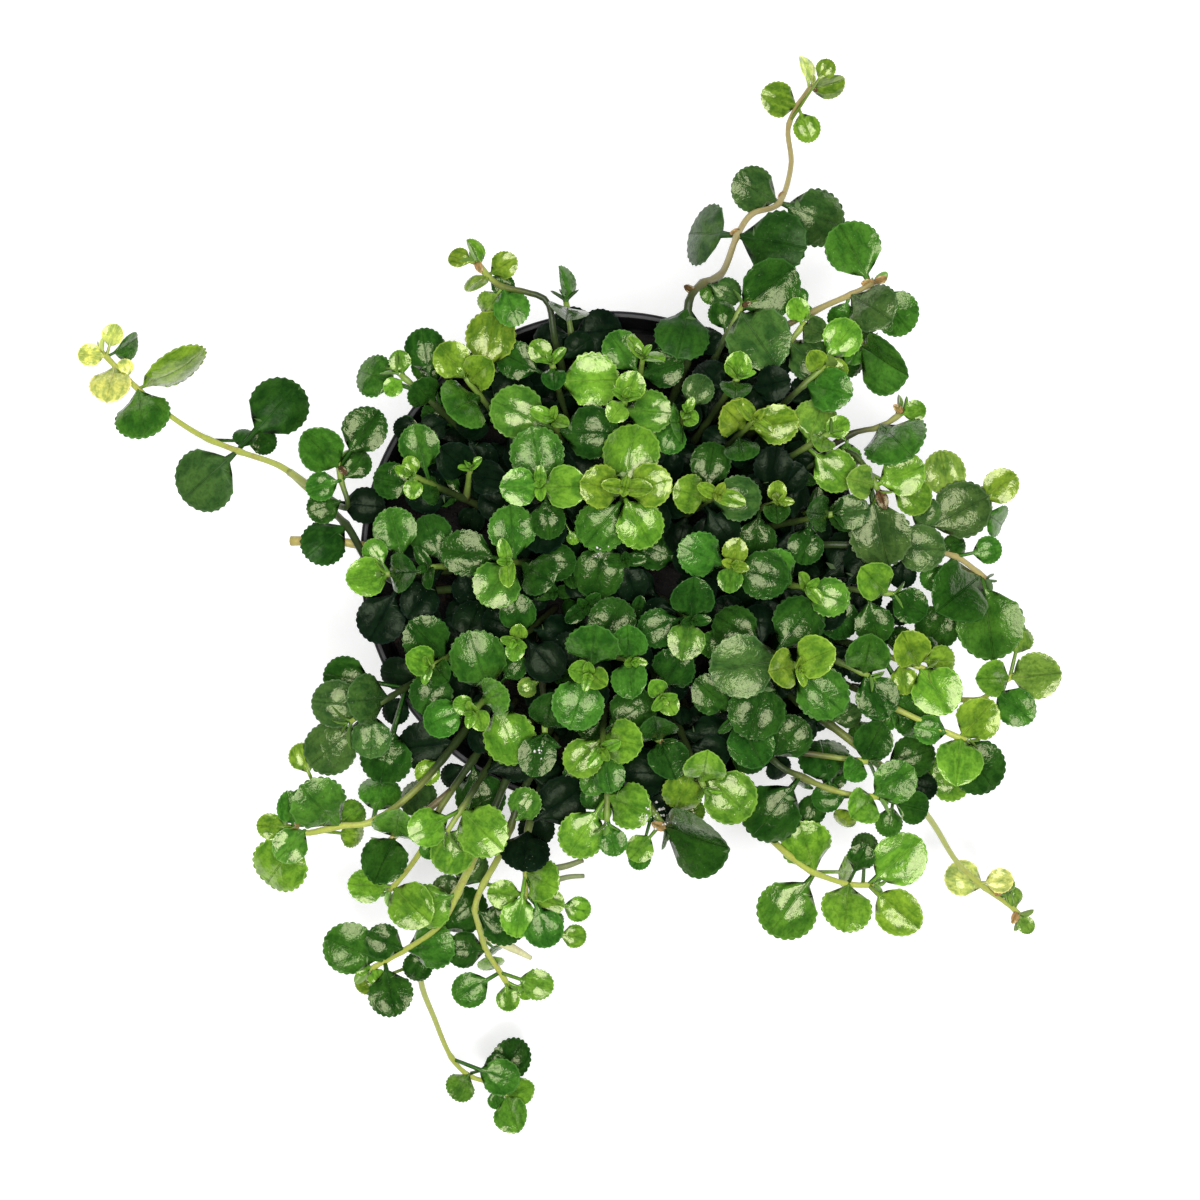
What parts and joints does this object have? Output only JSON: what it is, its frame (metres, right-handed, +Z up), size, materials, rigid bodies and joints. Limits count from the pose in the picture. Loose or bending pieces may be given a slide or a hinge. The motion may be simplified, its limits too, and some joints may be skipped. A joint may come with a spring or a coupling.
{
  "type": "potted pilea plant",
  "caption": "Low mounded house plant with small round scalloped leaves in opposite pairs on soft stems, some trailing over the rim of a plain round black nursery pot.",
  "frame": {"origin": "centre of the pot's underside, on the surface that it stands on", "axes": "+Z up along the pot's axis, +Y towards the top of the overhead picture, +X towards its right"},
  "size_m": [0.2184, 0.2511, 0.1221],
  "materials": {
    "foliage": "fleshy living leaf and soft stem, glossy, from bright yellow-green at the tips to dark green below",
    "pot": "thin black moulded plastic, satin, a little dusty at the rim",
    "soil": "dark damp crumbly potting mix"
  },
  "bodies": {
    "root": {"pot": "pot", "soil": "soil", "leafy_stem_edge_nw_low": "foliage", "leafy_stem_edge_nw_high": "foliage", "leafy_stem_tall_north_west": "foliage", "leafy_stem_spike_north": "foliage", "leafy_stem_north_inner": "foliage", "leafy_stem_crown_north_west": "foliage", "leafy_stem_inner_north": "foliage", "leafy_stem_crown_west": "foliage", "leafy_stem_inner_north_east": "foliage", "leafy_stem_edge_north": "foliage", "leafy_stem_inner_east_north": "foliage", "leafy_stem_edge_north_east": "foliage", "leafy_stem_rim_north_east": "foliage", "leafy_stem_crown_north_east": "foliage", "leafy_stem_rim_east_north": "foliage", "leafy_stem_edge_east_north": "foliage", "leafy_stem_edge_east_mid": "foliage", "leafy_stem_crown_top": "foliage", "leafy_stem_crown_east_north": "foliage", "leafy_stem_inner_east": "foliage", "leafy_stem_edge_east": "foliage", "leafy_stem_crown_east": "foliage", "leafy_stem_inner_east_south": "foliage", "leafy_stem_centre_east": "foliage", "leafy_stem_centre_south_east": "foliage", "leafy_stem_crown_south_east": "foliage", "leafy_stem_edge_west_south": "foliage", "leafy_stem_crown_south_west": "foliage", "leafy_stem_inner_west": "foliage", "leafy_stem_crown_south": "foliage", "leafy_stem_inner_south": "foliage", "leafy_stem_edge_south_east": "foliage", "leafy_stem_edge_west_north": "foliage", "leafy_stem_edge_west": "foliage", "leafy_stem_inner_west_low": "foliage", "leafy_stem_rim_south_west": "foliage", "leafy_stem_arch_south_west": "foliage", "leafy_stem_rim_south_south_west": "foliage", "leafy_stem_arch_south_west_low": "foliage", "leafy_stem_trail_south_west": "foliage", "leafy_stem_trail_south_short": "foliage", "leafy_stem_rim_south": "foliage", "leafy_stem_edge_south": "foliage", "leafy_stem_rim_east": "foliage", "leafy_stem_trail_east": "foliage", "leafy_stem_edge_east_low": "foliage", "leafy_stem_rim_east_south": "foliage", "leafy_stem_edge_east_south": "foliage", "leafy_stem_rim_south_east": "foliage", "leafy_stem_arch_south_east": "foliage", "leafy_stem_trail_south_east_low": "foliage", "leafy_stem_trail_south_east": "foliage", "leafy_stem_trail_north_east": "foliage", "leafy_stem_arch_north_east": "foliage", "leafy_stem_trail_west": "foliage"}
  },
  "joints": []
}
